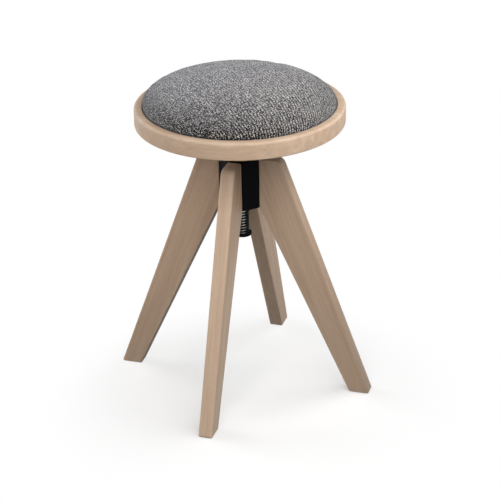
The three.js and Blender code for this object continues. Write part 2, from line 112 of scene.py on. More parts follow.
# The height over which a thread's ends close on its axis, how softly its flanks run into root and crest, how
# many turns are wound beyond both ends, and how near points are merged
END_TAPER, THREAD_SOFTNESS, SPARE_TURNS, THREAD_MERGE = 2, 0.2, 3, 0.01
# Grease on the spindle: the radii between which it is worn off and how far it smears. Then painted shade on
# one
# # side: how much further it reaches over the crests, and where that starts and ends as shares of the crest's
# radius
GREASE_FROM, GREASE_TO, GREASE_SMEAR, PAINTED_SIDE_SHADE, PAINTED_SHADE_SPAN = 12.25, 12.95, 1.6, 0.8, (0.25, 0.85)

# Screws as crest radius, length, pitch, head radius, head height and key width
NUT_SCREW = (2.5, 13.5, 0.8, 4.3, 2.8, 3)
LEG_BOLT = (4, 30, 1.25, 7, 4.4, 5)
PLATE_SCREW = (2.2, 16.5, 2, 4.3, 2.8, 2.5)
CUSHION_SCREW = (2.2, 18.3, 2, 4.3, 2.8, 2.5)
END_SCREW = (4, 20, 1.25, 7, 3.2, 5)
# The gap under a seated head, the root's depth as a share of the pitch, and the share of a sharp V's depth at
# which the ridge is half as wide as the pitch
SEATING, ROOT_SHARE, RIDGE_SHARE = 0.3, 0.4, 0.9
# The hexagon socket: its sides, its depth as a share of the head's, and its bevels
KEY_SIDES, KEY_SHARE, KEY_BEVEL = 6, 0.55, 0.1
# Grub screw, from its inner to its outer end
GRUB_RADIUS, GRUB_ROOT, GRUB_PITCH, GRUB_KEY = 2.5, 2, 0.8, 2.5
GRUB_INNER, GRUB_OUTER = 8.3, 17.5

# Seat
SEAT_RADIUS = 175
SEAT_LOW, SEAT_HIGH = 480, 510
RECESS_RADIUS, RECESS_FLOOR = 161, 494
SEAT_LOW_ROUND, SEAT_HIGH_ROUND, RECESS_EDGE, RECESS_ROUND = 2, 5, 1.5, 3
SEAT_BORE = 17.06
PLATE_RADIUS, PLATE_LOW, PLATE_HIGH = 70, 474.7, 479.7
PLATE_BORE, COLLAR_RADIUS, COLLAR_LOW, COLLAR_MIDDLE = 8.3, 18, 466.7, 470.7
PLATE_ROUND, PLATE_EDGE, PLATE_WELD = 1.2, 0.5, 2
PLATE_SCREWS = {"count": 6, "reach": 54, "first": 30}
CUSHION_SCREWS = {"count": 4, "reach": 110.3, "first": 45}
WOOD_SCREW_HOLE, PILOT_HIGH = 2.5, 491.7
COUNTERBORE_RADIUS, COUNTERBORE_DEPTH = 4.6, 4
# The staves: their width, where the first lies in the plank and how far on the next, and their range of tone
STAVE_WIDTH = 68
STAVE_PLACE, STAVE_STEP = (0.9, 0.021, 0.4), (0.37, 0.13, 0.05)
STAVE_TONES = (0.97, 1.03)
# Painted light makes the seat lighter along X, across its staves. Its rim gets painted shade on top and
# painted light outside, towards one side
SEAT_TONE, SEAT_PAINTED_LIGHT = 1.05, 0.15
RIM_TOP_PAINTED_SHADE, RIM_SIDE_PAINTED_LIGHT = 0.11, 0.14
# The side that the camera has on its right, where the rim gets painted light and the spindle painted shade
CAMERA_RIGHT = (0.953, 0.303, 0)

# Cushion: its form, and the slacker form that it is swelled from
CUSHION_RADIUS = 160.3
CUSHION_FOOT, FOOT_ROUND = 158.3, 3
BELLY_HEIGHT = 514.1
CROWN = 42.3
DOME_FLATNESS, DOME_SHOULDER, DOME_STEPS = 2.22, 1.8, 40
START_FLATNESS, START_SHOULDER = 2.36, 1.92
COVER_LOW = 494.4
VOXEL = 5
SLACK = 3.5
# The board in it is of plies this thick
VENEER = 1.4
SWELL_FRAMES, SWELL_PRESSURE, SWELL_CAP = 20, 4, 6
# The cloth is held from this far below the belly, and let go over this height
HELD_BELOW, HELD_FADE = 4, 14
# How much higher the foam stands all round, and on the camera's left low and high on the dome. Each term has
# its greatest value, 1, at one or two thirds of the height
FULLER, FULLER_LOW, FULLER_HIGH = 1.4, 3.3, -2.0
FULLER_PEAK = 6.75

# Tweed: yarn pitch, how many yarns each yarn passes over, and the cloth's turn in degrees
YARN_PITCH, TWILL, TWILL_TURN = 1.28, 3, 3
# How far out it is stretched flat, and how many times its length it is gathered past that
STRETCHED, GATHERED = 132, 1.5
# How far the yarns wander where the noise is strongest, and how fast a yarn's height falls to its sides
WANDER, YARN_ROUNDNESS = 5, 3.6
# The gap colour is painted shade, laid where each round yarn falls away to its sides
DARK_YARN, LIGHT_YARN, GAP_PAINTED_SHADE = "#151414", "#e9e4de", "#141313"
# Shares of the flecks: one crossing, one ply, the fibres. Then where dark turns to light
CROSSING_SHARE, PLY_SHARE, FIBRE_SHARE, PLY_COUNT = 0.8, 0.6, 0.4, 1.6
LIGHT_FROM, LIGHT_TO = 0.07, 0.2
# The ribs' share at -X and at +X, how high they stand, and where along X their share grows
RIB_AT_LOW_X, RIB_AT_HIGH_X, RIB_HEIGHT = 0.14, 0.36, 2
RIB_GROWS_FROM, RIB_GROWS_TO = -20, 110
# Painted shade, a slow change of tone, as where it starts and ends and the tone at both: along X, along Y,
# out
# # to the edge, and where the cloth tucks in behind the rim
CLOTH_PAINTED_SHADE = [
    ("X", -130, 130, -0.06, 0),
    ("Y", -150, -20, -0.08, 0),
    ("out", 100, 190, 0, -0.08),
    ("out", 190, 195, 0, -0.5),
]

# Studio: soft boxes as (name, watts, side in metres, place), where they all point, and a white floor
SOFT_BOXES = [
    ("key_front", 18, 1.4, (0.3, -1.9, 1.9)),
    ("key_front_right", 18, 1.4, (1.3, -1.4, 1.9)),
    ("key_right", 13, 1.4, (1.9, 0.0, 1.9)),
    ("key_back_right", 16, 1.4, (1.4, 1.3, 1.9)),
    ("overhead", 9, 2.0, (1.0, 0.0, 2.1)),
    ("fill_front", 11, 2.0, (0.6, -2.6, 1.0)),
    ("fill_front_left", 14, 2.0, (-1.9, -1.9, 1.0)),
    ("fill_left", 44, 2.0, (-2.6, 0.4, 1.0)),
]
BOX_AIM = (0, 0, 0.35)
FLOOR_HALF = 12
FLOOR_COLOUR, FLOOR_LIFT, FLOOR_BOUNCE = 0.8, 0.19, 0.02
# Where the shadow begins to fade and where it has faded, in metres from a place before the stool's middle
FADE_FROM, FADE_TO, FADE_PLACE = 0.11, 0.4, (0.065, -0.09, 0)
WHITE = (1, 1, 1, 1)


def linear(hex_colour):
    """An sRGB hex colour as linear RGBA."""
    parts = [int(hex_colour[i : i + 2], 16) / 255 for i in (1, 3, 5)]
    return (*(c / 12.92 if c <= 0.04045 else ((c + 0.055) / 1.055) ** 2.4 for c in parts), 1)


def add(tree, kind, inputs=(), output=0, **settings):
    """Adds a node with its settings, values and links, and returns one of its outputs. Inputs are in the
    node's own order, or by name or number. A kind in capitals is an operation of the maths node."""
    if kind.isupper():
        kind, settings["operation"] = "ShaderNodeMath", kind
    node = tree.nodes.new(kind)
    for name, value in settings.items():
        setattr(node, name, value)
    for key, value in inputs.items() if isinstance(inputs, dict) else enumerate(inputs):
        if isinstance(value, bpy.types.NodeSocket):
            tree.links.new(value, node.inputs[key])
        else:
            node.inputs[key].default_value = value
    return node.outputs[output] if node.outputs else None


# Meshes


def rounded(corners):
    """An outline as (point, outward normal) pairs, through corners (x, y) or (x, y, radius)."""
    outline = []
    for i, (x, y, *radius) in enumerate(corners):
        corner = Vector((x, y))
        before = (Vector(corners[i - 1][:2]) - corner).normalized()
        after = (Vector(corners[(i + 1) % len(corners)][:2]) - corner).normalized()
        if not radius:
            outline.append((corner, -(before + after).normalized()))
            continue
        half = before.angle(after) / 2
        centre = corner + (before + after).normalized() * (radius[0] / math.sin(half))
        start = corner + before * (radius[0] / math.tan(half)) - centre
        turn = math.copysign(math.pi - 2 * half, before.cross(after))
        for k in range(ROUND_STEPS + 1):
            arm = start.copy()
            arm.rotate(Matrix.Rotation(-turn * k / ROUND_STEPS, 2))
            outline.append((centre + arm, arm.normalized()))
    return outline


def placed(name, data):
    """A new object in the scene, at the origin."""
    thing = bpy.data.objects.new(name, data)
    bpy.context.scene.collection.objects.link(thing)
    return thing


def piece_of(name, bm):
    """Turns a bmesh in millimetres into an object in metres, faces outward, smooth but for sharp edges."""
    bmesh.ops.remove_doubles(bm, verts=bm.verts, dist=1e-4)
    bmesh.ops.recalc_face_normals(bm, faces=bm.faces)
    bmesh.ops.scale(bm, vec=(MM, MM, MM), verts=bm.verts)
    mesh = bpy.data.meshes.new(name)
    bm.to_mesh(mesh)
    bm.free()
    return shaded(placed(name, mesh))


def shaded(piece):
    """Shades a piece smooth, but for its sharp edges."""
    bm = bmesh.new()
    bm.from_mesh(piece.data)
    for face in bm.faces:
        face.smooth = True
    for edge in bm.edges:
        edge.smooth = edge.calc_face_angle(0) < math.radians(SHARP)
    bm.to_mesh(piece.data)
    bm.free()
    return piece


def turned(name, corners, facets=192):
    """A turned piece about Z, from a closed profile of (radius, height) or (radius, height, rounding)."""
    profile = [point for point, _ in rounded(corners)]
    bm = bmesh.new()
    rings = []
    for r, z in profile:
        count = 1 if r < 1e-6 else facets
        angles = [2 * math.pi * k / facets for k in range(count)]
        rings.append([bm.verts.new((r * math.cos(a), r * math.sin(a), z)) for a in angles])
    for low, high in zip(rings, rings[1:] + rings[:1]):
        if len(low) == len(high) == 1:
            continue
        for k in range(facets):
            corners_of_face = [
                low[k % len(low)],
                low[(k + 1) % len(low)],
                high[(k + 1) % len(high)],
                high[k % len(high)],
            ]
            bm.faces.new(dict.fromkeys(corners_of_face))
    return piece_of(name, bm)


def bar(radius, low, high, facets=48):
    """A round cutting tool about Z."""
    return turned("tool", [(0, low), (radius, low), (radius, high), (0, high)], facets)


def board(name, corners, thickness, arris, steps=5):
    """A board cut to an outline in X and Y, its thickness along Z about 0, with rounded edges."""
    outline = rounded(corners)
    quarter = [math.pi / 2 * k / steps for k in range(steps + 1)]
    layers = [(arris * (1 - math.cos(a)), thickness / 2 - arris + arris * math.sin(a)) for a in quarter]
    layers = [(inset, -z) for inset, z in reversed(layers)] + layers
    bm = bmesh.new()
    rings = [
        [bm.verts.new((*(point - normal * inset), z)) for point, normal in outline] for inset, z in layers
    ]
    for low, high in zip(rings, rings[1:]):
        for k in range(len(low)):
            bm.faces.new((low[k - 1], low[k], high[k], high[k - 1]))
    bm.faces.new(rings[0])
    bm.faces.new(rings[-1])
    return piece_of(name, bm)


def flats(sides, across):
    """The corners of a polygon with one of its flats facing +X."""
    radius = across / 2 / math.cos(math.pi / sides)
    angles = [math.pi / sides * (2 * k + 1) for k in range(sides)]
    return [(radius * math.cos(a), radius * math.sin(a)) for a in angles]


def prism(name, sides, across, low, high, edge, rounding):
    """A prism with flats, its long edges rounded and its ends bevelled."""
    corners = [(*corner, rounding) for corner in flats(sides, across)]
    middle = Matrix.Translation((0, 0, (low + high) / 2))
    return moved(board(name, corners, high - low, edge, steps=2), middle)


def moved(piece, matrix):
    """Moves the mesh itself by a matrix in millimetres, and leaves the object at the origin."""
    in_metres = matrix.copy()
    in_metres.translation *= MM
    piece.data.transform(in_metres)
    return piece


def applied(piece):
    """Gives the piece the mesh that its modifiers make, and removes them."""
    graph = bpy.context.evaluated_depsgraph_get()
    mesh = bpy.data.meshes.new_from_object(piece.evaluated_get(graph))
    piece.modifiers.clear()
    piece.data = mesh
    mesh.name = piece.name
    return piece


def carved(piece, tools, operation="DIFFERENCE"):
    """Cuts the tools out of the piece, or joins them to it, and removes them."""
    for tool in tools:
        modifier = piece.modifiers.new("carve", "BOOLEAN")
        modifier.operation, modifier.solver, modifier.object = operation, "MANIFOLD", tool
        applied(piece)
        bpy.data.objects.remove(tool)
    return shaded(piece)


def ring_of(tool, count, reach, first):
    """Copies of a tool in a ring about Z. The tool itself is removed."""
    turns = [Matrix.Rotation(math.radians(first + 360 * k / count), 4, "Z") for k in range(count)]
    out = Matrix.Translation((reach, 0, 0))
    tools = [moved(placed("tool", tool.data.copy()), turn @ out) for turn in turns]
    bpy.data.objects.remove(tool)
    return tools


def outward(tool, angle, height):
    """A tool made along Z, pointed outward from the axis at an angle and height."""
    turn = Matrix.Rotation(math.radians(angle), 4, "Z") @ Matrix.Rotation(math.pi / 2, 4, "Y")
    return moved(tool, Matrix.Translation((0, 0, height)) @ turn)


# Geometry Nodes: what repeats or follows a rule


def new_tree(name, inputs):
    """A node tree with named inputs, its group input node and the identifier of each input."""
    tree = bpy.data.node_groups.new(name, "GeometryNodeTree")
    tree.interface.new_socket("Geometry", in_out="OUTPUT", socket_type="NodeSocketGeometry")
    identifiers = {
        label: tree.interface.new_socket(label, in_out="INPUT", socket_type="NodeSocket" + kind).identifier
        for label, kind in inputs.items()
    }
    source = tree.nodes.new("NodeGroupInput")
    return tree, source.outputs, identifiers


def closed_tree(tree, geometry, material):
    """Ends a tree in realised instances with their material."""
    real = add(tree, "GeometryNodeRealizeInstances", (geometry,))
    painted = add(tree, "GeometryNodeSetMaterial", {"Geometry": real, "Material": material})
    add(tree, "NodeGroupOutput", (painted,))


def grown(name, tree, identifiers, values):
    """Runs a tree with its inputs set, and returns the result as a plain mesh."""
    piece = placed(name, bpy.data.meshes.new(name))
    modifier = piece.modifiers.new("grow", "NODES")
    modifier.node_group = tree
    for label, value in values.items():
        modifier[identifiers[label]] = value
    return shaded(applied(piece))


def thread_tree():
    """A threaded bar: a grid wound up a helix, its radius set by the flanks, closed at both ends."""
    sizes = ("Pitch", "Root radius", "Crest radius", "Pitch radius", "Flank slope", "Low", "High", "Cap")
    counts = ("Turns", "Steps", "Across")
    tree, value, identifiers = new_tree(
        "trapezoidal thread",
        {**dict.fromkeys(sizes, "Float"), **dict.fromkeys(counts, "Int"), "Material": "Material"},
    )
    pitch, low, high = value["Pitch"], value["Low"], value["High"]
    rings = add(tree, "MULTIPLY_ADD", (value["Turns"], value["Steps"], 1))
    columns = add(tree, "ADD", (value["Across"], 1))
    grid = add(
        tree,
        "GeometryNodeMeshGrid",
        {"Size X": 1, "Size Y": 1, "Vertices X": columns, "Vertices Y": rings},
    )
    place = add(tree, "ShaderNodeSeparateXYZ", (add(tree, "GeometryNodeInputPosition"),)).node.outputs
    across, along = place["X"], add(tree, "ADD", (place["Y"], 0.5))
    turns = add(tree, "MULTIPLY", (along, value["Turns"]))
    # The first ridge starts on a whole number of pitches, so that the screw is in mesh with its nut
    lead = add(tree, "ADD", (value["Cap"], pitch))
    first = add(tree, "DIVIDE", (add(tree, "SUBTRACT", (low, lead)), pitch))
    first = add(tree, "FLOOR", (first,))
    height = add(tree, "ADD", (add(tree, "ADD", (first, turns)), across))
    height = add(tree, "MULTIPLY", (height, pitch))
    # The flanks fall off on both sides of the ridge's middle, a quarter of the pitch away at the pitch
    # radius, and run softly into crest and root
    off_ridge = add(tree, "MULTIPLY", (add(tree, "ABSOLUTE", (across,)), pitch))
    flank = add(tree, "SUBTRACT", (add(tree, "MULTIPLY", (pitch, 0.25)), off_ridge))
    flank = add(tree, "DIVIDE", (flank, value["Flank slope"]))
    radius = add(tree, "ADD", (value["Pitch radius"], flank))
    radius = add(tree, "SMOOTH_MAX", (radius, value["Root radius"], THREAD_SOFTNESS * MM))
    radius = add(tree, "SMOOTH_MIN", (radius, value["Crest radius"], THREAD_SOFTNESS * MM))
    # At both ends the ridge is bevelled down to the root, and past the end the bar closes on its axis
    over_low, under_high = add(tree, "SUBTRACT", (height, low)), add(tree, "SUBTRACT", (high, height))
    inside = add(tree, "MINIMUM", (over_low, under_high))
    bevel = add(tree, "ADD", (value["Root radius"], add(tree, "MAXIMUM", (inside, 0))))
    outside = add(tree, "MAXIMUM", (add(tree, "MULTIPLY", (inside, -1)), 0))
    closing = add(tree, "SUBTRACT", (1, add(tree, "DIVIDE", (outside, value["Cap"]))), use_clamp=True)
    radius = add(tree, "MULTIPLY", (add(tree, "MINIMUM", (radius, bevel)), closing))
    height = add(tree, "MINIMUM", (add(tree, "MAXIMUM", (height, low)), high))
    angle = add(tree, "MULTIPLY", (turns, 2 * math.pi))
    x, y = (add(tree, "MULTIPLY", (radius, add(tree, way, (angle,)))) for way in ("COSINE", "SINE"))
    helix = add(tree, "ShaderNodeCombineXYZ", (x, y, height))
    wound = add(tree, "GeometryNodeSetPosition", {"Geometry": grid, "Position": helix})
    closed = add(tree, "GeometryNodeMergeByDistance", {"Geometry": wound, "Distance": THREAD_MERGE * MM})
    closed_tree(tree, add(tree, "GeometryNodeFlipFaces", {"Mesh": closed}), value["Material"])
    return tree, identifiers


thread, thread_inputs = thread_tree()


def threaded(name, crest, root, pitch, low, high, material, flank=30, ridge=None, room=0, steps=24, across=6):
    """A threaded bar. The ridge is half as wide as the pitch at some depth under its crest, and a tap's is
    wider by its running room."""
    slope = math.tan(math.radians(flank))
    depth = RIDGE_SHARE * pitch / 4 / slope if ridge is None else ridge
    sizes = {
        "Pitch": pitch * MM,
        "Root radius": root * MM,
        "Crest radius": crest * MM,
        "Pitch radius": (crest - depth + room / slope) * MM,
        "Flank slope": slope,
        "Low": low * MM,
        "High": high * MM,
        "Cap": END_TAPER * MM,
        "Turns": math.ceil((high - low + 2 * END_TAPER) / pitch) + SPARE_TURNS,
        "Steps": steps,
        "Across": across,
        "Material": material,
    }
    return grown(name, thread, thread_inputs, sizes)


def ring_tree():
    """Fasteners in a ring: one on each point of a circle, turned with its angle."""
    sizes = dict.fromkeys(("Reach", "Height", "First"), "Float")
    tree, value, identifiers = new_tree(
        "ring of screws", {"Screw": "Object", "Count": "Int", **sizes, "Material": "Material"}
    )
    circle = add(tree, "GeometryNodeMeshCircle", {"Vertices": value["Count"], "Radius": value["Reach"]})
    lift, turn = (add(tree, "ShaderNodeCombineXYZ", {"Z": value[label]}) for label in ("Height", "First"))
    points = add(tree, "GeometryNodeTransform", {"Geometry": circle, "Translation": lift, "Rotation": turn})
    place = add(tree, "ShaderNodeSeparateXYZ", (add(tree, "GeometryNodeInputPosition"),)).node.outputs
    angle = add(tree, "ARCTAN2", (place["Y"], place["X"]))
    facing = add(tree, "ShaderNodeCombineXYZ", {"Z": angle})
    fastener = add(tree, "GeometryNodeObjectInfo", {"Object": value["Screw"]}, output="Geometry")
    fasteners = add(
        tree, "GeometryNodeInstanceOnPoints", {"Points": points, "Instance": fastener, "Rotation": facing}
    )
    closed_tree(tree, fasteners, value["Material"])
    return tree, identifiers


# Finishes. A map range node's inputs are its value, the range that this has, and the range that it is given.
# A colour mix takes its colours at inputs 6 and 7, and gives one at output 2


def finish(name, **sockets):
    """A material with one Principled shader, its constant values set on the shader's own sockets."""
    material = bpy.data.materials.new(name)
    material.use_nodes = True
    tree = material.node_tree
    shader = tree.nodes["Principled BSDF"]
    for label, value in sockets.items():
        shader.inputs[label.replace("_", " ")].default_value = value
    return material, tree, shader


def linked(tree, shader, **sockets):
    """Links outputs of the tree to the shader's sockets."""
    for label, value in sockets.items():
        tree.links.new(value, shader.inputs[label.replace("_", " ")])


def beech(name, stave=0):
    """Beech, planed, sanded and matt lacquered. The eye gets a warm pale ground with soft growth rings and
    fine streaks that run the length of the board, faint short ray flecks and a silky dull gloss. With a stave
    width, the wood is edge-glued from staves, each a little different in tone."""
    material, tree, shader = finish(name, IOR=1.5, Specular_IOR_Level=0.4)
    grain = add(tree, "ShaderNodeAttribute", output="Vector", attribute_name="grain")
    tone = add(tree, "ShaderNodeAttribute", output="Fac", attribute_name="tone")
    if stave:
        parts = add(tree, "ShaderNodeSeparateXYZ", (grain,)).node.outputs
        row = add(tree, "FLOOR", (add(tree, "DIVIDE", (parts["Y"], stave * MM)),))
        chance = add(tree, "ShaderNodeTexWhiteNoise", {"W": row}, noise_dimensions="1D")
        shade = add(tree, "ShaderNodeMapRange", (chance, 0, 1, *STAVE_TONES))
        tone = add(tree, "MULTIPLY", (tone, shade))
        shift = add(tree, "ShaderNodeVectorMath", {0: STAVE_STEP, "Scale": row}, operation="SCALE")
        grain = add(tree, "ShaderNodeVectorMath", (grain, shift), operation="ADD")
    # Growth rings: bands 4 to 10 mm wide, drawn out 20 times along the grain
    long_way = add(tree, "ShaderNodeMapping", {"Vector": grain, "Scale": (0.05, 1, 1)})
    bands = add(tree, "ShaderNodeTexNoise", {"Vector": long_way, "Scale": 90, "Detail": 4, "Roughness": 0.6})
    # Slow change of tone over 60 mm or so, as the board's colour drifts
    drift = add(tree, "ShaderNodeTexNoise", {"Vector": long_way, "Scale": 16, "Detail": 1})
    # Vessel streaks 1 to 2 mm apart, drawn about four times as coarse as real ones so that they show
    fine_way = add(tree, "ShaderNodeMapping", {"Vector": grain, "Scale": (0.02, 1, 1)})
    fine = {"Vector": fine_way, "Scale": 520, "Detail": 2, "Roughness": 0.6}
    streaks = add(tree, "ShaderNodeTexNoise", fine)
    # Ray flecks, 0.5 mm across and 5 mm long, drawn about twice as coarse as real ones so that they show
    fleck_way = add(tree, "ShaderNodeMapping", {"Vector": grain, "Scale": (0.12, 1, 1)})
    short = {"Vector": fleck_way, "Scale": 950, "Detail": 2, "Roughness": 0.7}
    flecks = add(tree, "ShaderNodeTexNoise", short)
    colour = linear("#c2a68d")
    for mark, first, last, most, other in (
        (bands, 0.3, 0.7, 1, "#d9c0a7"),
        (drift, 0.35, 0.65, 0.45, "#c8a88d"),
        (streaks, 0.5, 0.75, 0.35, "#a98a70"),
        (flecks, 0.55, 0.75, 0.25, "#8f6e54"),
    ):
        share = add(tree, "ShaderNodeMapRange", (mark, first, last, 0, most))
        colour = add(tree, "ShaderNodeMix", {0: share, 6: colour, 7: linear(other)}, 2, data_type="RGBA")
    colour = add(tree, "ShaderNodeVectorMath", {0: colour, "Scale": tone}, operation="SCALE")
    gloss = add(tree, "ShaderNodeMapRange", (flecks, 0.3, 0.7, 0.46, 0.6))
    bump = add(tree, "ShaderNodeBump", {"Strength": 0.2, "Distance": 0.06 * MM, "Height": flecks})
    linked(tree, shader, Base_Color=colour, Roughness=gloss, Normal=bump)
    return material


def tweed():
    """Wool tweed, a 3/3 twill of mixed light and dark yarn. The eye gets salt and pepper flecks the size of
    one yarn crossing, slanting ribs that show more towards +X, painted shade in the gaps between yarns, on
    the
    -X and -Y sides and round the edge, and a pale nap at grazing angles."""
    material, tree, shader = finish(
        "wool_tweed",
        Roughness=1.0,
        Specular_IOR_Level=0.1,
        Sheen_Weight=0.5,
        Sheen_Roughness=0.5,
        Sheen_Tint=linear("#e3e5f0"),
    )
    cloth = add(tree, "ShaderNodeAttribute", output="Vector", attribute_name="cloth")
    # Yarns wander by up to about a millimetre, so the weave is never a ruled grid
    wander = add(tree, "ShaderNodeTexNoise", {"Vector": cloth, "Scale": 120, "Detail": 2}, output="Color")
    wander = add(tree, "ShaderNodeVectorMath", (wander, (0.5, 0.5, 0.5)), operation="SUBTRACT")
    wander = add(tree, "ShaderNodeVectorMath", {0: wander, "Scale": WANDER * MM}, operation="SCALE")
    laid = add(tree, "ShaderNodeVectorMath", (cloth, wander), operation="ADD")
    # One unit is one yarn. Warp and weft cross square, and the ribs run at 45 degrees to both
    yarns = add(
        tree,
        "ShaderNodeMapping",
        {"Vector": laid, "Rotation": (0, 0, math.radians(TWILL_TURN)), "Scale": (1 / (YARN_PITCH * MM),) * 3},
    )
    part = add(tree, "ShaderNodeSeparateXYZ", (yarns,)).node.outputs
    warp, weft = (add(tree, "FLOOR", (part[way],)) for way in "XY")
    in_warp, in_weft = (add(tree, "SUBTRACT", (add(tree, "FRACT", (part[way],)), 0.5)) for way in "XY")
    step = add(tree, "FLOORED_MODULO", (add(tree, "ADD", (warp, weft)), 2 * TWILL))
    warp_up = add(tree, "LESS_THAN", (step, TWILL - 0.5))
    # The ribs show more strongly towards +X
    out = add(tree, "ShaderNodeVectorMath", (cloth,), output="Value", operation="LENGTH")
    parts = add(tree, "ShaderNodeSeparateXYZ", (cloth,)).node.outputs
    lie = {"X": parts["X"], "Y": parts["Y"], "out": out}
    worn = add(tree, "ShaderNodeMapRange", (lie["X"], RIB_GROWS_FROM * MM, RIB_GROWS_TO * MM))
    worn = add(tree, "MULTIPLY_ADD", (worn, RIB_AT_HIGH_X - RIB_AT_LOW_X, RIB_AT_LOW_X))
    rib = add(tree, "MULTIPLY", (add(tree, "SUBTRACT", (warp_up, 0.5)), worn))
    # Each yarn is round: its height falls off to its sides, and the warp stands over the weft in the ribs
    aside = add(tree, "ShaderNodeMix", {0: warp_up, 2: in_weft, 3: in_warp}, data_type="FLOAT")
    fall = add(tree, "MULTIPLY", (add(tree, "MULTIPLY", (aside, aside)), YARN_ROUNDNESS))
    roundness = add(tree, "SUBTRACT", (1, fall))
    height = add(tree, "MULTIPLY_ADD", (rib, RIB_HEIGHT, roundness))
    # Painted shade: the cloth is darker to the -X and -Y sides, round its edge, and most where it tucks in
    # behind the rim
    mix = rib
    for way, start, end, tone_at_start, tone_at_end in CLOTH_PAINTED_SHADE:
        tone = add(tree, "ShaderNodeMapRange", (lie[way], start * MM, end * MM, tone_at_start, tone_at_end))
        mix = add(tree, "ADD", (mix, tone))
    # Salt and pepper: every crossing is by chance light or dark, so is every ply in it, and fibres stray over
    # both
    crossing = add(tree, "ShaderNodeCombineXYZ", (warp, weft))
    crossing = add(tree, "ShaderNodeTexWhiteNoise", {"Vector": crossing}, noise_dimensions="3D")
    ply = add(tree, "ShaderNodeVectorMath", {0: yarns, "Scale": PLY_COUNT}, operation="SCALE")
    ply = add(tree, "ShaderNodeVectorMath", (ply,), operation="FLOOR")
    ply = add(tree, "ShaderNodeTexWhiteNoise", {"Vector": ply}, noise_dimensions="3D")
    fibre = add(tree, "ShaderNodeTexNoise", {"Vector": cloth, "Scale": 1100, "Detail": 2, "Roughness": 0.7})
    for flecks, share in ((crossing, CROSSING_SHARE), (ply, PLY_SHARE), (fibre, FIBRE_SHARE)):
        mix = add(tree, "MULTIPLY_ADD", (add(tree, "SUBTRACT", (flecks, 0.5)), share, mix))
    mix = add(tree, "ShaderNodeMapRange", (mix, LIGHT_FROM, LIGHT_TO), interpolation_type="SMOOTHSTEP")
    # Painted shade in the gaps, where each yarn's height falls away to its sides
    gap = add(tree, "ShaderNodeMapRange", (roundness, 0.1, 0.75, 0.75, 0))
    colour = linear(DARK_YARN)
    for share, other in ((mix, LIGHT_YARN), (gap, GAP_PAINTED_SHADE)):
        colour = add(tree, "ShaderNodeMix", {0: share, 6: colour, 7: linear(other)}, 2, data_type="RGBA")
    relief = add(tree, "MULTIPLY_ADD", (fibre, 0.5, height))
    bump = add(tree, "ShaderNodeBump", {"Strength": 0.8, "Distance": 0.5 * MM, "Height": relief})
    linked(tree, shader, Base_Color=colour, Normal=bump)
    return material


def powder_coat():
    """Black powder-coated steel. The eye gets a deep dull black with a fine orange-peel surface."""
    black = linear("#050609")
    material, tree, shader = finish("black_powder_coat", Base_Color=black, Specular_IOR_Level=0.04)
    point = add(tree, "ShaderNodeTexCoord", output="Object")
    # Orange peel with waves about 1 mm long
    peel = add(tree, "ShaderNodeTexNoise", {"Vector": point, "Scale": 900, "Detail": 2})
    gloss = add(tree, "ShaderNodeMapRange", (peel, 0, 1, 0.45, 0.6))
    bump = add(tree, "ShaderNodeBump", {"Strength": 0.3, "Distance": 0.05 * MM, "Height": peel})
    linked(tree, shader, Roughness=gloss, Normal=bump)
    return material


def screw_steel():
    """Rolled steel, oiled. The eye gets broken bright lines on worn crests, dark grease on the rest, and
    painted shade over the crests on one side.
    """
    material, tree, shader = finish("oiled_rolled_steel", Metallic=1.0)
    point = add(tree, "ShaderNodeTexCoord", output="Object")
    flat = add(tree, "ShaderNodeVectorMath", (point, (1, 1, 0)), operation="MULTIPLY")
    reach = add(tree, "ShaderNodeVectorMath", (flat,), output="Value", operation="LENGTH")
    smear = add(tree, "ShaderNodeTexNoise", {"Vector": point, "Scale": 400, "Detail": 3})
    bare = add(tree, "MULTIPLY_ADD", (smear, GREASE_SMEAR * MM, reach))
    # Painted shade: the grease line is moved out over the crests towards the camera's right, darkening them
    # there
    side = add(tree, "ShaderNodeVectorMath", (point, CAMERA_RIGHT), output="Value", operation="DOT_PRODUCT")
    start, end = (share * CREST * MM for share in PAINTED_SHADE_SPAN)
    painted_side_shade = add(tree, "ShaderNodeMapRange", (side, start, end, 0, PAINTED_SIDE_SHADE * MM))
    bare = add(tree, "SUBTRACT", (bare, painted_side_shade))
    worn = (bare, GREASE_FROM * MM, GREASE_TO * MM)
    clean = add(tree, "ShaderNodeMapRange", worn, interpolation_type="SMOOTHSTEP")
    colours = {0: clean, 6: linear("#161615"), 7: linear("#989896")}
    colour = add(tree, "ShaderNodeMix", colours, 2, data_type="RGBA")
    gloss = add(tree, "ShaderNodeMapRange", (clean, 0, 1, 0.5, 0.26))
    linked(tree, shader, Base_Color=colour, Roughness=gloss)
    return material


def zinc_steel():
    """Zinc-plated steel, barrel plated. The eye gets a pale bluish metal with small soft changes of tone."""
    material, tree, shader = finish("zinc_plated_steel", Metallic=1.0)
    point = add(tree, "ShaderNodeTexCoord", output="Object")
    # Spangle and handling marks about 3 mm across
    marks = add(tree, "ShaderNodeTexNoise", {"Vector": point, "Scale": 350, "Detail": 3})
    colours = {0: marks, 6: linear("#a9adb3"), 7: linear("#d3d5d8")}
    colour = add(tree, "ShaderNodeMix", colours, 2, data_type="RGBA")
    gloss = add(tree, "ShaderNodeMapRange", (marks, 0, 1, 0.24, 0.42))
    linked(tree, shader, Base_Color=colour, Roughness=gloss)
    return material


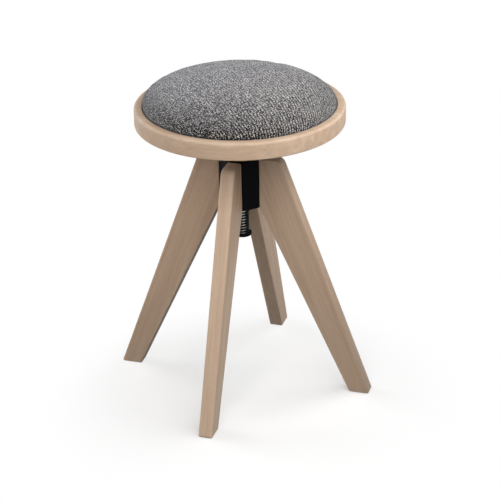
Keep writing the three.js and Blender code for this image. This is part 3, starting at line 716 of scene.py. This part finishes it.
def turned_brass():
    """Brass, turned on a lathe. The eye gets a yellow metal with fine rings about Z, dull in patches."""
    material, tree, shader = finish("turned_brass", Metallic=1.0)
    point = add(tree, "ShaderNodeTexCoord", output="Object")
    # Tool marks 0.4 mm apart, drawn about twice as coarse as real ones so that they show
    rings = add(
        tree,
        "ShaderNodeTexWave",
        {"Vector": point, "Scale": 1 / (0.4 * MM) / (2 * math.pi), "Distortion": 0.5},
        output="Fac",
        wave_type="RINGS",
        rings_direction="Z",
    )
    tarnish = add(tree, "ShaderNodeTexNoise", {"Vector": point, "Scale": 120, "Detail": 3})
    colours = {0: tarnish, 6: linear("#8f6c32"), 7: linear("#cfa75a")}
    colour = add(tree, "ShaderNodeMix", colours, 2, data_type="RGBA")
    gloss = add(tree, "ShaderNodeMapRange", (tarnish, 0, 1, 0.45, 0.25))
    bump = add(tree, "ShaderNodeBump", {"Strength": 0.15, "Distance": 0.03 * MM, "Height": rings})
    linked(tree, shader, Base_Color=colour, Roughness=gloss, Normal=bump)
    return material


def moulded(name, dark, pale, roughness, grit, shine):
    """A moulded black plastic or rubber. The eye gets a dull even black with a grained, dusty skin."""
    material, tree, shader = finish(name, Roughness=roughness, Specular_IOR_Level=shine)
    point = add(tree, "ShaderNodeTexCoord", output="Object")
    skin = add(tree, "ShaderNodeTexNoise", {"Vector": point, "Scale": 1 / (grit * MM), "Detail": 2})
    colours = {0: skin, 6: linear(dark), 7: linear(pale)}
    colour = add(tree, "ShaderNodeMix", colours, 2, data_type="RGBA")
    bump = add(tree, "ShaderNodeBump", {"Strength": 0.3, "Distance": 0.05 * MM, "Height": skin})
    linked(tree, shader, Base_Color=colour, Normal=bump)
    return material


def birch_plywood():
    """Birch plywood, sawn. The eye gets pale faces and, on the edge, thin plies, light and dark in turn."""
    material, tree, shader = finish("birch_plywood", Roughness=0.7, Specular_IOR_Level=0.3)
    point = add(tree, "ShaderNodeTexCoord", output="Object")
    height = add(tree, "ShaderNodeSeparateXYZ", (point,)).node.outputs["Z"]
    ply = add(tree, "FLOORED_MODULO", (height, 2 * VENEER * MM))
    ply = add(tree, "GREATER_THAN", (ply, VENEER * MM))
    long_way = add(tree, "ShaderNodeMapping", {"Vector": point, "Scale": (0.08, 1, 1)})
    fibre = add(tree, "ShaderNodeTexNoise", {"Vector": long_way, "Scale": 700})
    streaks = add(tree, "ShaderNodeMapRange", (fibre, 0.45, 0.75, 0, 0.45))
    colour = linear("#dcc294")
    for share, other in ((ply, "#a9855a"), (streaks, "#8d6b45")):
        colour = add(tree, "ShaderNodeMix", {0: share, 6: colour, 7: linear(other)}, 2, data_type="RGBA")
    linked(tree, shader, Base_Color=colour)
    return material


legs_wood = beech("beech_boards")
seat_wood = beech("beech_staves", STAVE_WIDTH)
wool = tweed()
coat = powder_coat()
rolled = screw_steel()
plated = zinc_steel()
brass = turned_brass()
nylon = moulded("moulded_nylon", "#141415", "#202022", roughness=0.55, grit=0.8, shine=0.35)
rubber = moulded("moulded_rubber", "#050506", "#0c0c0d", roughness=0.9, grit=0.4, shine=0.1)
plywood = birch_plywood()


# Pieces


def with_grain(piece, along, across, offset, tone, painted_light=0):
    """Writes where each point lies in its board, along the grain, across it and through it, in metres. Writes
    the board's tone too, where 1 is beech as its colours are written, and painted light that grows along X."""
    through = along.cross(across)
    attributes = piece.data.attributes
    attributes.new("grain", "FLOAT_VECTOR", "POINT")
    attributes.new("tone", "FLOAT", "POINT")
    for vertex, place, shade in zip(piece.data.vertices, attributes["grain"].data, attributes["tone"].data):
        place.vector = Vector((vertex.co @ along, vertex.co @ across, vertex.co @ through)) + Vector(offset)
        shade.value = tone + painted_light * vertex.co.x / (SEAT_RADIUS * MM)


def fitted(piece, material, slot, body, *stood_for):
    """Gives a finished piece its material and body, and hides the CAD nodes that it stands for. Its slot is
    not used.
    """
    piece.data.materials.clear()
    piece.data.materials.append(material)
    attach(piece, body)
    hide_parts(*stood_for)
    return piece


# Legs: each board has the outline of its CAD node, rounder edges and grain along its splayed length
splay = Vector((LEG_FOOT_OUTER - LEG_SHOULDER, 0, -HUB_HIGH)).normalized()
inner_rise = Vector((LEG_INNER - LEG_FOOT_INNER, 0, HUB_LOW)).normalized()
for index, (side, angle) in enumerate(LEG_ANGLES.items()):
    leg = board(
        f"beech_leg_{side}",
        [
            (LEG_FOOT_INNER, 0, CORNER_ROUND),
            (LEG_FOOT_OUTER, 0, CORNER_ROUND),
            (LEG_SHOULDER, HUB_HIGH, SHOULDER_ROUND),
            (LEG_INNER, HUB_HIGH, CORNER_ROUND),
            (LEG_INNER, HUB_LOW, CORNER_ROUND),
        ],
        LEG_THICKNESS,
        LEG_ARRIS,
    )
    turn = Matrix.Rotation(math.radians(angle), 4, "Z")
    moved(leg, turn @ Matrix.Rotation(math.pi / 2, 4, "X"))
    sockets = [
        outward(bar(SOCKET_RADIUS, LEG_INNER - PAST, LEG_INNER + SOCKET_DEPTH), angle, z)
        for z in BOLT_HEIGHTS
    ]
    carved(leg, sockets)
    along = turn.to_3x3() @ splay
    side_way = turn.to_3x3() @ Vector((0, 1, 0))
    offset = [index * step for step in PLANK_STEP]
    with_grain(leg, along, side_way.cross(along), offset, LEG_TONES[side])
    # Painted shade on its slanting inner edge, and painted shade and painted light on its outer edge
    inner_way = turn.to_3x3() @ inner_rise.cross(Vector((0, 1, 0)))
    for vertex, shade in zip(leg.data.vertices, leg.data.attributes["tone"].data):
        inward = vertex.normal @ inner_way
        up = vertex.co.z / (HUB_HIGH * MM)
        outer_painted_light_and_shade = OUTER_PAINTED_LIGHT.get(side, 0) * up - OUTER_PAINTED_SHADE.get(side, 0) * (1 - up)
        inner_painted_shade = INNER_PAINTED_SHADE.get(side, 0)
        shade.value *= 1 - inner_painted_shade * max(0, inward) + outer_painted_light_and_shade * max(0, -inward)
    fitted(leg, legs_wood, "pale_wood", "base", f"leg_{side}")

# Hub: an octagonal tube with softened edges, bored as the CAD node is
hub = prism("hub_casing", HUB_SIDES, HUB_FLATS, HUB_LOW, HUB_HIGH, HUB_END_BEVEL, HUB_EDGE)
inner_flats, under_top = HUB_FLATS - 2 * HUB_WALL, HUB_HIGH - HUB_TOP_WALL
inside = prism(
    "tool", HUB_SIDES, inner_flats, HUB_LOW - PAST, under_top, HUB_END_BEVEL / 2, HUB_EDGE / 2
)
nut_bore = bar(NUT_BORE, under_top - PAST, HUB_HIGH + PAST, facets=96)
screw_holes = ring_of(bar(NUT_SCREW_HOLE, under_top - PAST, HUB_HIGH + PAST), **NUT_SCREWS)
bolt_holes = [
    outward(bar(BOLT_HOLE, HUB_FLATS / 2 - HUB_WALL - PAST, HUB_FLATS / 2 + PAST), angle, z)
    for z in BOLT_HEIGHTS
    for angle in LEG_ANGLES.values()
]
carved(hub, [inside, nut_bore, *screw_holes, *bolt_holes])
fitted(hub, coat, "black_coat", "base", "hub")

# Lead screw: the thread, the spigot that carries the seat plate, and the hole for the end screw
lead = {"pitch": PITCH, "flank": FLANK, "steps": 48, "across": 16}
spindle = threaded(
    "lead_screw",
    CREST,
    ROOT,
    low=SCREW_LOW,
    high=SCREW_HIGH,
    ridge=CREST - PITCH_RADIUS,
    material=rolled,
    **lead,
)
spigot = turned(
    "tool",
    [
        (0, SCREW_HIGH - PAST),
        (SPIGOT_RADIUS, SCREW_HIGH - PAST),
        (SPIGOT_RADIUS, SPIGOT_HIGH, SPIGOT_ROUND),
        (0, SPIGOT_HIGH),
    ],
    facets=64,
)
carved(spindle, [spigot], "UNION")
carved(spindle, [bar(TAPPED_RADIUS, SCREW_LOW - PAST, TAPPED_HIGH)])
fitted(spindle, rolled, "spindle_steel", "seat", "spindle")


def flare(mouth, face, way, facets):
    """A tool that opens a bore at 45 degrees, up (1) or down (-1), to its mouth's radius at a face."""
    low, high = mouth - way * FLARE, mouth + way * FLARE
    return turned(
        "tool",
        [(0, face - FLARE), (low, face - FLARE), (high, face + FLARE), (0, face + FLARE)],
        facets,
    )


# Nut: hung through the hub's top wall by its flange, and tapped with running room
nut = turned(
    "flanged_nut",
    [
        (0, NUT_LOW),
        (NUT_RADIUS, NUT_LOW, NUT_ROUND),
        (NUT_RADIUS, NUT_SHOULDER),
        (NUT_FLANGE, NUT_SHOULDER, NUT_EDGE),
        (NUT_FLANGE, NUT_HIGH, NUT_ROUND),
        (0, NUT_HIGH),
    ],
    facets=128,
)
tap = threaded(
    "tool",
    CREST + TIP_ROOM,
    ROOT + TIP_ROOM,
    low=NUT_LOW - 2 * PITCH,
    high=NUT_HIGH + 2 * PITCH,
    ridge=CREST + TIP_ROOM - PITCH_RADIUS,
    room=FLANK_ROOM,
    material=brass,
    **lead,
)
screw_holes = ring_of(bar(NUT_SCREW_HOLE, NUT_SHOULDER - PAST, NUT_HIGH + PAST), **NUT_SCREWS)
carved(nut, [tap, flare(NUT_MOUTH, NUT_HIGH, 1, facets=192), *screw_holes])
fitted(nut, brass, "nut_brass", "base", "spindle_nut")

# Guide bush: plugs the hub's lower end and keeps the crests of the thread in line
bush = prism("guide_bush_plug", HUB_SIDES, BUSH_FLATS, HUB_LOW, BUSH_HIGH, BUSH_END_BEVEL, HUB_EDGE)
bush_bore = bar(BUSH_BORE, HUB_LOW - PAST, BUSH_HIGH + PAST, facets=96)
carved(bush, [bush_bore, flare(BUSH_MOUTH, HUB_LOW, -1, facets=96)])
fitted(bush, nylon, "black_nylon", "base", "guide_bush")

# End stop: a steel disc on the screw's end, with a loose rubber ring on it
disc = turned(
    "end_stop_disc",
    [
        (TAPPED_RADIUS, DISC_LOW),
        (STOP_RADIUS, DISC_LOW, DISC_ROUND),
        (STOP_RADIUS, DISC_HIGH, DISC_EDGE),
        (TAPPED_RADIUS, DISC_HIGH),
    ],
    facets=96,
)
fitted(disc, coat, "black_coat", "seat", "end_disc")
buffer = turned(
    "rubber_buffer",
    [
        (BUFFER_BORE, BUFFER_LOW, BUFFER_ROUND),
        (STOP_RADIUS, BUFFER_LOW, BUFFER_ROUND),
        (STOP_RADIUS, BUFFER_HIGH, BUFFER_ROUND),
        (BUFFER_BORE, BUFFER_HIGH, BUFFER_ROUND),
    ],
    facets=96,
)
fitted(buffer, rubber, "black_rubber", "stop", "buffer_ring")

# Seat plate: a disc with a collar welded round the spigot, and the grub screw that locks it there
plate = turned(
    "seat_plate_disc",
    [
        (PLATE_BORE, COLLAR_LOW, PLATE_EDGE),
        (COLLAR_RADIUS, COLLAR_LOW, PLATE_ROUND),
        (COLLAR_RADIUS, PLATE_LOW, PLATE_WELD),
        (PLATE_RADIUS, PLATE_LOW, PLATE_ROUND),
        (PLATE_RADIUS, PLATE_HIGH, PLATE_EDGE),
        (PLATE_BORE, PLATE_HIGH, PLATE_EDGE),
    ],
)
grub_hole = bar(GRUB_RADIUS + SEATING, PLATE_BORE - PAST, COLLAR_RADIUS + PAST)
outward(grub_hole, 0, COLLAR_MIDDLE)
screw_holes = ring_of(bar(WOOD_SCREW_HOLE, PLATE_LOW - PAST, PLATE_HIGH + PAST), **PLATE_SCREWS)
carved(plate, [grub_hole, *screw_holes])
fitted(plate, coat, "black_coat", "seat", "seat_plate")
grub = threaded("grub_screw_socket", GRUB_RADIUS, GRUB_ROOT, GRUB_PITCH, GRUB_INNER, GRUB_OUTER, rolled)
key = prism("tool", KEY_SIDES, GRUB_KEY, GRUB_OUTER - GRUB_KEY, GRUB_OUTER + PAST / 2, KEY_BEVEL, KEY_BEVEL)
carved(grub, [key])
outward(grub, 0, COLLAR_MIDDLE)
fitted(grub, rolled, "spindle_steel", "seat", "grub_screw")


# Screws: rounded heads with hexagon sockets, most of them in rings


def screw(name, crest, length, pitch, head_radius, head_height, key):
    """A screw along Z: its shank runs up from 0, and its rounded head hangs below with a hexagon socket."""
    low = -SEATING - head_height
    piece = threaded(name, crest, crest - ROOT_SHARE * pitch, pitch, low / 2, length, plated)
    head = turned(
        "tool",
        [(0, low), (head_radius, low, head_height / 2), (head_radius, -SEATING), (0, -SEATING)],
        facets=48,
    )
    carved(piece, [head], "UNION")
    deep = low + head_height * KEY_SHARE
    return carved(piece, [prism("tool", KEY_SIDES, key, low - PAST / 2, deep, KEY_BEVEL, KEY_BEVEL)])


upright = Matrix.Identity(4)
upside_down = Matrix.Rotation(math.pi, 4, "X")
pointing_out = Matrix.Rotation(math.pi / 2, 4, "Y")
counterbored = SEAT_LOW + COUNTERBORE_DEPTH
ring, ring_inputs = ring_tree()
SCREW_RINGS = [
    ("nut_screws", NUT_SCREW, upside_down, NUT_SCREWS, NUT_HIGH, "base", "nut_screw_"),
    ("plate_screws", PLATE_SCREW, upright, PLATE_SCREWS, PLATE_LOW, "seat", "plate_screw_"),
    ("cushion_screws", CUSHION_SCREW, upright, CUSHION_SCREWS, counterbored, "seat", "cushion_screw_"),
    ("leg_bolts_lower", LEG_BOLT, pointing_out, LEG_BOLTS, BOLT_HEIGHTS[0], "base", "_lower"),
    ("leg_bolts_upper", LEG_BOLT, pointing_out, LEG_BOLTS, BOLT_HEIGHTS[1], "base", "_upper"),
]
for name, sizes, facing, place, height, body, marker in SCREW_RINGS:
    pattern = moved(screw("tool", *sizes), facing)
    screws = grown(
        name,
        ring,
        ring_inputs,
        {
            "Screw": pattern,
            "Count": place["count"],
            "Reach": place["reach"] * MM,
            "Height": height * MM,
            "First": math.radians(place["first"]),
            "Material": plated,
        },
    )
    bpy.data.objects.remove(pattern)
    stood_for = [node for node in nodes if marker in node and not node.startswith("leg_insert")]
    fitted(screws, plated, "zinc_steel", body, *stood_for)
end_screw = moved(screw("end_screw_socket", *END_SCREW), Matrix.Translation((0, 0, DISC_LOW)))
fitted(end_screw, plated, "zinc_steel", "seat", "end_screw")

# Seat: turned from edge-glued staves, with a recess for the cushion
seat = turned(
    "beech_seat",
    [
        (SEAT_BORE, SEAT_LOW),
        (SEAT_RADIUS, SEAT_LOW, SEAT_LOW_ROUND),
        (SEAT_RADIUS, SEAT_HIGH, SEAT_HIGH_ROUND),
        (RECESS_RADIUS, SEAT_HIGH, RECESS_EDGE),
        (RECESS_RADIUS, RECESS_FLOOR, RECESS_ROUND),
        (SEAT_BORE, RECESS_FLOOR),
    ],
    facets=256,
)
holes = ring_of(bar(WOOD_SCREW_HOLE, SEAT_LOW - PAST, RECESS_FLOOR + PAST, facets=24), **CUSHION_SCREWS)
counterbores = ring_of(bar(COUNTERBORE_RADIUS, SEAT_LOW - PAST, counterbored), **CUSHION_SCREWS)
pilots = ring_of(bar(WOOD_SCREW_HOLE, SEAT_LOW - PAST, PILOT_HIGH, facets=24), **PLATE_SCREWS)
carved(seat, [*holes, *counterbores, *pilots])
with_grain(seat, Vector((1, 0, 0)), Vector((0, 1, 0)), STAVE_PLACE, SEAT_TONE, SEAT_PAINTED_LIGHT)
# Painted shade on the rim's top, growing towards +X, and painted light on its outer side towards the camera's
# right
for vertex, shade in zip(seat.data.vertices, seat.data.attributes["tone"].data):
    top = max(0, vertex.normal.z) * min(1, max(0, 1 + vertex.co.x / (SEAT_RADIUS * MM)))
    outer_side = max(0, vertex.normal @ Vector(CAMERA_RIGHT)) * (vertex.co.xy.length > RECESS_RADIUS * MM)
    shade.value *= 1 - RIM_TOP_PAINTED_SHADE * top + RIM_SIDE_PAINTED_LIGHT * outer_side
fitted(seat, seat_wood, "pale_wood", "seat", "seat_pan")

# Cushion: a closed crowned form, swelled as cloth and drawn down inside the rim


def dome(shrink=0, flatness=DOME_FLATNESS, shoulder=DOME_SHOULDER):
    """The cushion's profile from its widest line to the axis, as (radius, height)."""
    profile = []
    for k in range(DOME_STEPS + 1):
        angle = math.pi / 2 * (1 - k / DOME_STEPS)
        out = 0 if k == DOME_STEPS else math.sin(angle) ** (2 / flatness)
        up = math.cos(angle) ** (2 / shoulder)
        profile.append((out * (CUSHION_RADIUS - shrink / 3), BELLY_HEIGHT + up * (CROWN - shrink)))
    return profile


def swelled(piece):
    """Runs the cloth under pressure, its drawn-in foot held, and keeps a capped share of the swell."""
    start = [vertex.co.copy() for vertex in piece.data.vertices]
    held = piece.vertex_groups.new(name="held")
    for vertex in piece.data.vertices:
        rise = (vertex.co.z / MM - BELLY_HEIGHT + HELD_BELOW) / HELD_FADE
        held.add([vertex.index], min(1, max(0, 1 - rise)), "REPLACE")
    cloth = piece.modifiers.new("swell", "CLOTH")
    cloth.settings.use_pressure = True
    cloth.settings.uniform_pressure_force = SWELL_PRESSURE
    cloth.settings.effector_weights.gravity = 0
    cloth.settings.vertex_group_mass = "held"
    cloth.point_cache.frame_start, cloth.point_cache.frame_end = 1, SWELL_FRAMES
    for step in range(1, SWELL_FRAMES + 1):
        bpy.context.scene.frame_set(step)
    applied(piece)
    bpy.context.scene.frame_set(1)
    piece.vertex_groups.clear()
    for vertex, before in zip(piece.data.vertices, start):
        swell = vertex.co - before
        if swell.length > SWELL_CAP * MM:
            swell *= SWELL_CAP * MM / swell.length
        vertex.co = before + swell


shrink = SLACK
slack_dome = dome(SLACK, START_FLATNESS, START_SHOULDER)
cushion = turned(
    "tweed_cushion",
    [(0, COVER_LOW), (CUSHION_FOOT - shrink / 3, COVER_LOW, FOOT_ROUND), *slack_dome],
    facets=160,
)
remesh = cushion.modifiers.new("remesh", "REMESH")
remesh.mode, remesh.voxel_size = "VOXEL", VOXEL * MM
applied(cushion)
swelled(cushion)
smooth = cushion.modifiers.new("smooth", "SUBSURF")
smooth.levels = smooth.render_levels = 1
applied(cushion)
# Drawn out to its measured crown and width, a little fuller on one side, and kept inside the recess
crown = max(vertex.co.z for vertex in cushion.data.vertices) / MM - BELLY_HEIGHT
width = max(math.hypot(*vertex.co.xy) for vertex in cushion.data.vertices) / MM
for vertex in cushion.data.vertices:
    vertex.co.xy *= CUSHION_RADIUS / width
    rise = (vertex.co.z / MM - BELLY_HEIGHT) / crown
    if rise > 0:
        to_left = -(vertex.co.xy.normalized() @ Vector(CAMERA_RIGHT[:2]))
        low = FULLER_PEAK * rise * (1 - rise) ** 2
        high = FULLER_PEAK * rise**2 * (1 - rise)
        rise += (FULLER * low + to_left * (FULLER_LOW * low + FULLER_HIGH * high)) / CROWN
        vertex.co.z = (BELLY_HEIGHT + rise * CROWN) * MM
    vertex.co.z = max(vertex.co.z, COVER_LOW * MM)
# The cloth is stretched over the crown, so from above the weave is even there, and past it the weave follows
# the surface and is gathered: distance from the crown along the dome, at each point's own bearing
profile = dome()[::-1]
walk = [0.0]
for a, b in zip(profile, profile[1:]):
    walk.append(walk[-1] + (b[0] - a[0] if b[0] < STRETCHED else GATHERED * math.dist(a, b)))
attribute = cushion.data.attributes.new("cloth", "FLOAT_VECTOR", "POINT")
for vertex, item in zip(cushion.data.vertices, attribute.data):
    reach = max(math.hypot(*vertex.co.xy) / MM, 1e-6)
    k = next((i for i, (r, _) in enumerate(profile) if r >= reach), len(profile) - 1)
    inner = profile[max(k - 1, 0)][0]
    share = min(1, (reach - inner) / max(profile[k][0] - inner, 1e-6)) if k else 0
    distance = walk[max(k - 1, 0)] + share * (walk[k] - walk[max(k - 1, 0)])
    distance += max(0, BELLY_HEIGHT - vertex.co.z / MM)
    item.vector = (vertex.co.xy * (distance / reach)).to_3d()
for polygon in cushion.data.polygons:
    polygon.use_smooth = True
fitted(cushion, wool, "tweed", "seat", "cushion_cover", "cushion_foam")

# CAD nodes that stay: the inserts in the legs, the lock nut in the seat's bore and the board in the cushion
for name, node in nodes.items():
    if not node.hide_render:
        node.data.materials.clear()
        node.data.materials.append(plywood if name == "cushion_board" else plated)

# Stage: a white floor, and soft boxes round and over the stool. The world is white, and gives no light itself


def seen_as_white(tree):
    """1 for what the camera, gloss and glass see, and 0 for other light."""
    path = add(tree, "ShaderNodeLightPath").node.outputs
    seen = add(tree, "ADD", (path["Is Camera Ray"], path["Is Glossy Ray"]))
    return add(tree, "ADD", (seen, path["Is Transmission Ray"]), use_clamp=True)


def floor_paint():
    """White floor paint. The camera, gloss and glass see it white, with the stool's shadow. Other light finds
    a darker floor, so little light comes back up under the stool."""
    material = bpy.data.materials.new("white_floor")
    material.use_nodes = True
    tree = material.node_tree
    tree.nodes.clear()
    point = add(tree, "ShaderNodeTexCoord", output="Object")
    # The shadow fades out into white, sooner behind the stool than beside and before it
    place = add(tree, "ShaderNodeVectorMath", (point, FADE_PLACE), operation="SUBTRACT")
    reach = add(tree, "ShaderNodeVectorMath", (place,), output="Value", operation="LENGTH")
    far = add(tree, "ShaderNodeMapRange", (reach, FADE_FROM, FADE_TO), interpolation_type="SMOOTHSTEP")
    lit = add(tree, "ShaderNodeBsdfDiffuse", {"Color": (FLOOR_COLOUR,) * 3 + (1,)})
    glow = add(tree, "ShaderNodeEmission", {"Color": WHITE, "Strength": FLOOR_LIFT})
    near = add(tree, "ShaderNodeAddShader", (lit, glow))
    white = add(tree, "ShaderNodeEmission", {"Color": WHITE, "Strength": 1})
    shown = add(tree, "ShaderNodeMixShader", (far, near, white))
    unseen = add(tree, "ShaderNodeBsdfDiffuse", {"Color": (FLOOR_BOUNCE,) * 3 + (1,)})
    both = add(tree, "ShaderNodeMixShader", (seen_as_white(tree), unseen, shown))
    add(tree, "ShaderNodeOutputMaterial", {"Surface": both})
    return material


corners = [(-1, -1), (1, -1), (1, 1), (-1, 1)]
floor_mesh = bpy.data.meshes.new("floor")
floor_mesh.from_pydata([(x * FLOOR_HALF, y * FLOOR_HALF, 0) for x, y in corners], [], [(0, 1, 2, 3)])
floor_mesh.materials.append(floor_paint())
placed("floor", floor_mesh)

world = bpy.data.worlds.new("studio")
bpy.context.scene.world = world
world.use_nodes = True
sky = world.node_tree
sky.nodes.clear()
white = add(sky, "ShaderNodeBackground", {"Color": WHITE, "Strength": seen_as_white(sky)})
add(sky, "ShaderNodeOutputWorld", {"Surface": white})

for name, watts, side, place in SOFT_BOXES:
    lamp = bpy.data.lights.new(name, "AREA")
    lamp.shape, lamp.size, lamp.energy = "SQUARE", side, watts
    soft_box = placed(name, lamp)
    soft_box.location = place
    soft_box.rotation_euler = (Vector(BOX_AIM) - Vector(place)).to_track_quat("-Z", "Y").to_euler()

# Camera
turn = Matrix.Rotation(math.radians(CAMERA_TURN), 3, "Z")
tilt = math.radians(CAMERA_ELEVATION)
forward = Vector((0, math.cos(tilt), -math.sin(tilt)))
side_way, up = Vector((1, 0, 0)), Vector((0, math.sin(tilt), math.cos(tilt)))
roll = math.radians(CAMERA_ROLL)
across = side_way * math.cos(roll) + up * math.sin(roll)
above = up * math.cos(roll) - side_way * math.sin(roll)
eye = turn @ (Vector((AIM_SIDE, 0, AIM_HEIGHT)) - forward * CAMERA_DISTANCE) * MM
axes = Matrix((turn @ across, turn @ above, turn @ -forward)).transposed()
camera_data = bpy.data.cameras.new("camera")
camera_data.lens, camera_data.sensor_width = CAMERA_LENS, CAMERA_SENSOR
camera = placed("camera", camera_data)
camera.matrix_world = Matrix.Translation(eye) @ axes.to_4x4()
bpy.context.scene.camera = camera
bpy.context.scene.view_settings.view_transform = "Standard"
